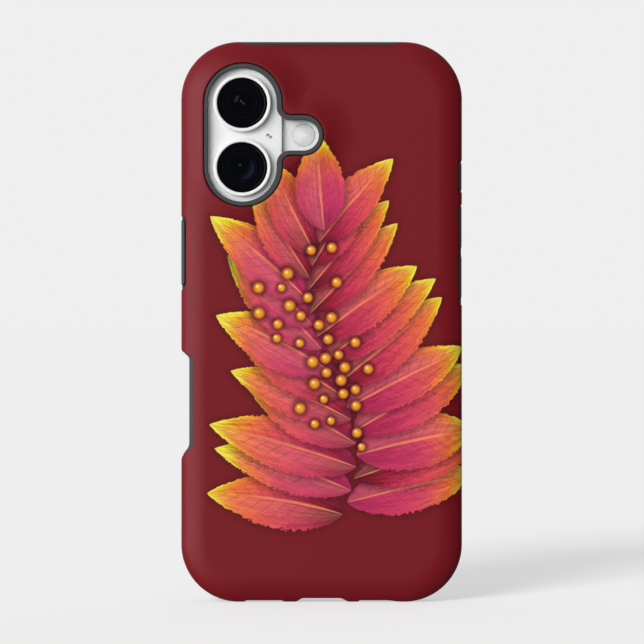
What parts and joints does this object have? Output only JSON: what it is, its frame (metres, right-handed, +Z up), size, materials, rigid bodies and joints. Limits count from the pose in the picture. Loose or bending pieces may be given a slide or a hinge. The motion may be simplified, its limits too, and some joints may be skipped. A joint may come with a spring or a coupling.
{
  "type": "smartphone in a two-layer printed protective case",
  "caption": "Slim smartphone held in a two-layer protective case: a maroon hard shell with a printed leaf spray over a soft dark grey liner, with camera window and button covers.",
  "frame": {"origin": "centre of the case's footprint on the surface it stands on, at the bottom edge", "axes": "+Z up along the phone's length, +Y from the case's back towards the screen, +X to the right seen from behind"},
  "size_m": [0.0764, 0.0126, 0.1524],
  "materials": {
    "printed_shell": "satin hard shell, maroon, with a print on the back and sides",
    "liner_rubber": "matt dark grey soft liner",
    "phone_aluminium": "fine blasted and anodised, pale silver",
    "white_back_glass": "milky white glass, coloured through, opaque",
    "display_glass": "clear polished cover glass",
    "dark_screen": "black screen, switched off",
    "white_lens_ring": "white anodised bezel",
    "dark_lens_glass": "dark coated lens cover",
    "black_moulding": "black moulded housing",
    "flash_glass": "faceted clear diffuser",
    "lamp_phosphor": "pale yellow lamp face",
    "steel_parts": "plain steel",
    "flex_copper": "copper tracks and windings, brass stands in for copper",
    "battery_foil": "dark laminated pouch",
    "board_laminate": "green circuit laminate"
  },
  "bodies": {
    "cased_phone": {"outer_shell": "printed_shell", "inner_liner": "liner_rubber", "phone_frame": "phone_aluminium", "back_glass": "white_back_glass", "display_glass": "display_glass", "display_panel": "dark_screen", "upper_lens_ring": "white_lens_ring", "lower_lens_ring": "white_lens_ring", "upper_lens_glass": "dark_lens_glass", "lower_lens_glass": "dark_lens_glass", "upper_camera_module": "black_moulding", "lower_camera_module": "black_moulding", "flash_window": "flash_glass", "flash_lamp": "lamp_phosphor", "rear_microphone": "steel_parts", "left_key_flex": "flex_copper", "right_key_flex": "flex_copper", "battery": "battery_foil", "logic_board": "board_laminate", "shield_can": "steel_parts", "charging_coil": "flex_copper", "magnet_ring": "steel_parts", "charge_socket": "steel_parts", "loudspeaker": "black_moulding", "haptic_motor": "steel_parts", "earpiece": "black_moulding", "front_camera": "black_moulding", "left_bottom_screw": "steel_parts", "right_bottom_screw": "steel_parts"},
    "side_button_body": {"side_button": "phone_aluminium"},
    "action_button_body": {"action_button": "phone_aluminium"},
    "volume_up_button_body": {"volume_up_button": "phone_aluminium"},
    "volume_down_button_body": {"volume_down_button": "phone_aluminium"},
    "camera_button_body": {"camera_button": "phone_aluminium"}
  },
  "joints": [
    {"name": "side_button_press", "type": "slide", "parent": "cased_phone", "child": "side_button_body", "axis": [1, 0, 0], "range_m": [0, 0.00025], "stiffness_N_per_m": 400},
    {"name": "action_button_press", "type": "slide", "parent": "cased_phone", "child": "action_button_body", "axis": [-1, 0, 0], "range_m": [0, 0.00025], "stiffness_N_per_m": 400},
    {"name": "volume_up_button_press", "type": "slide", "parent": "cased_phone", "child": "volume_up_button_body", "axis": [-1, 0, 0], "range_m": [0, 0.00025], "stiffness_N_per_m": 400},
    {"name": "volume_down_button_press", "type": "slide", "parent": "cased_phone", "child": "volume_down_button_body", "axis": [-1, 0, 0], "range_m": [0, 0.00025], "stiffness_N_per_m": 400},
    {"name": "camera_button_press", "type": "slide", "parent": "cased_phone", "child": "camera_button_body", "axis": [1, 0, 0], "range_m": [0, 0.00025], "stiffness_N_per_m": 400}
  ]
}
